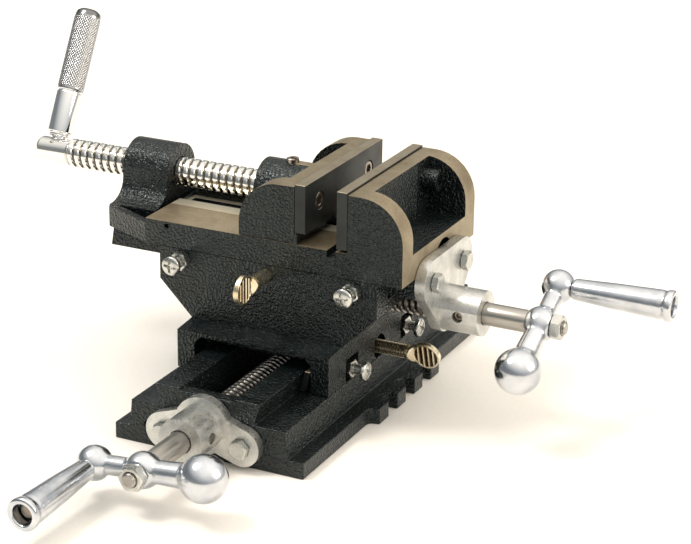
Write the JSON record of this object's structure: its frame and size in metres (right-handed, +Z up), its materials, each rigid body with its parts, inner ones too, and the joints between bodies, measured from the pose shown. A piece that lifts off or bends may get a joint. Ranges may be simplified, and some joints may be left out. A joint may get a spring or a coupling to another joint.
{
  "type": "two-axis cross-slide milling vise",
  "caption": "Cross-slide vise for a milling or drilling table: crossed dovetail slides on cranked lead screws carry a jaw vise with an L-handled spindle.",
  "frame": {"origin": "centre of the base casting's flat underside", "axes": "+Z up out of the machine table, +X across the jaw opening towards the fixed jaw and the upper crank, +Y along the base's dovetail way, away from the lower crank"},
  "size_m": [0.3955, 0.3849, 0.1989],
  "materials": {
    "black_enamel": "gloss black hammertone enamel on cast iron",
    "ground_iron": "ground bare iron with a thin film of oil",
    "chrome": "bright chrome plate",
    "die_cast_zinc": "dull die-cast zinc alloy",
    "polished_aluminium": "polished die-cast aluminium",
    "plain_steel": "bare turned steel",
    "thread_steel": "oiled rolled-thread steel",
    "bright_zinc": "bright zinc plate",
    "yellow_zinc": "yellow zinc plate",
    "bronze": "cast bronze"
  },
  "bodies": {
    "base": {"base_casting": "black_enamel", "lower_bracket": "die_cast_zinc", "lower_bracket_set_screw": "plain_steel", "lower_bracket_bolt_a": "bright_zinc", "lower_bracket_bolt_b": "bright_zinc"},
    "lower_screw": {"lower_lead_screw": "thread_steel", "lower_thrust_washer": "plain_steel", "lower_crank_arm": "polished_aluminium", "lower_grip_bolt": "plain_steel", "lower_crank_nut": "bright_zinc"},
    "lower_grip": {"lower_grip_sleeve": "polished_aluminium"},
    "saddle": {"saddle_casting": "black_enamel", "lower_gib": "ground_iron", "upper_gib": "ground_iron", "lower_screw_nut": "bronze", "lower_nut_screw": "bright_zinc", "upper_screw_nut": "bronze", "upper_nut_screw": "bright_zinc", "lower_gib_screw_front": "bright_zinc", "lower_gib_screw_rear": "bright_zinc", "lower_gib_nut_front": "bright_zinc", "lower_gib_nut_rear": "bright_zinc", "upper_gib_screw_left": "bright_zinc", "upper_gib_screw_right": "bright_zinc", "upper_gib_nut_left": "bright_zinc", "upper_gib_nut_right": "bright_zinc"},
    "lower_lock": {"lower_lock_screw": "yellow_zinc"},
    "upper_lock": {"upper_lock_screw": "yellow_zinc"},
    "vise_body": {"vise_casting": "black_enamel", "fixed_jaw_plate": "ground_iron", "fixed_plate_screw_near": "plain_steel", "fixed_plate_screw_far": "plain_steel", "upper_bracket": "die_cast_zinc", "upper_bracket_set_screw": "plain_steel", "upper_bracket_bolt_a": "bright_zinc", "upper_bracket_bolt_b": "bright_zinc"},
    "upper_screw": {"upper_lead_screw": "thread_steel", "upper_thrust_washer": "plain_steel", "upper_crank_arm": "polished_aluminium", "upper_grip_bolt": "plain_steel", "upper_crank_nut": "bright_zinc"},
    "upper_grip": {"upper_grip_sleeve": "polished_aluminium"},
    "movable_jaw": {"movable_jaw_casting": "black_enamel", "movable_jaw_plate": "ground_iron", "movable_plate_screw_near": "plain_steel", "movable_plate_screw_far": "plain_steel", "jaw_keeper_plate": "plain_steel", "keeper_screw_rear": "bright_zinc", "keeper_screw_front": "bright_zinc", "spindle_retaining_screw": "plain_steel"},
    "clamp_spindle": {"clamp_spindle": "chrome", "handle_bar": "chrome", "handle_pin": "plain_steel"}
  },
  "joints": [
    {"name": "lower_screw_turn", "type": "hinge", "parent": "base", "child": "lower_screw", "pos_m": [0, -0.192, 0.022], "axis": [0, 1, 0], "range_deg": [-5820, 4560]},
    {"name": "lower_grip_spin", "type": "hinge", "parent": "lower_screw", "child": "lower_grip", "pos_m": [-0.0295, -0.23, 0.01952], "axis": [0, 1, 0], "continuous": true},
    {"name": "saddle_slide", "type": "slide", "parent": "base", "child": "saddle", "axis": [0, 1, 0], "range_m": [-0.0505, 0.0645]},
    {"name": "lower_lock_turn", "type": "hinge", "parent": "saddle", "child": "lower_lock", "pos_m": [0.06, -0.0069, 0.03205], "axis": [1, 0, 0], "range_deg": [0, 360]},
    {"name": "upper_lock_turn", "type": "hinge", "parent": "saddle", "child": "upper_lock", "pos_m": [0, -0.075, 0.08445], "axis": [0, -1, 0], "range_deg": [0, 360]},
    {"name": "vise_slide", "type": "slide", "parent": "saddle", "child": "vise_body", "axis": [1, 0, 0], "range_m": [-0.0142, 0.0602]},
    {"name": "upper_screw_turn", "type": "hinge", "parent": "vise_body", "child": "upper_screw", "pos_m": [0.146, -0.0069, 0.0645], "axis": [1, 0, 0], "range_deg": [-1290, 5430]},
    {"name": "upper_grip_spin", "type": "hinge", "parent": "upper_screw", "child": "upper_grip", "pos_m": [0.185, 0.01952, 0.07785], "axis": [1, 0, 0], "continuous": true},
    {"name": "jaw_slide", "type": "slide", "parent": "vise_body", "child": "movable_jaw", "axis": [1, 0, 0], "range_m": [-0.056, 0.0189]},
    {"name": "spindle_turn", "type": "hinge", "parent": "movable_jaw", "child": "clamp_spindle", "pos_m": [-0.17, -0.0069, 0.1186], "axis": [1, 0, 0], "range_deg": [-4040, 1370]}
  ],
  "couplings": [
    {"joint": "lower_screw_turn", "follows": "saddle_slide", "rad_per_m": -1570.8},
    {"joint": "upper_screw_turn", "follows": "vise_slide", "rad_per_m": 1570.8},
    {"joint": "spindle_turn", "follows": "jaw_slide", "rad_per_m": 1256.6}
  ]
}
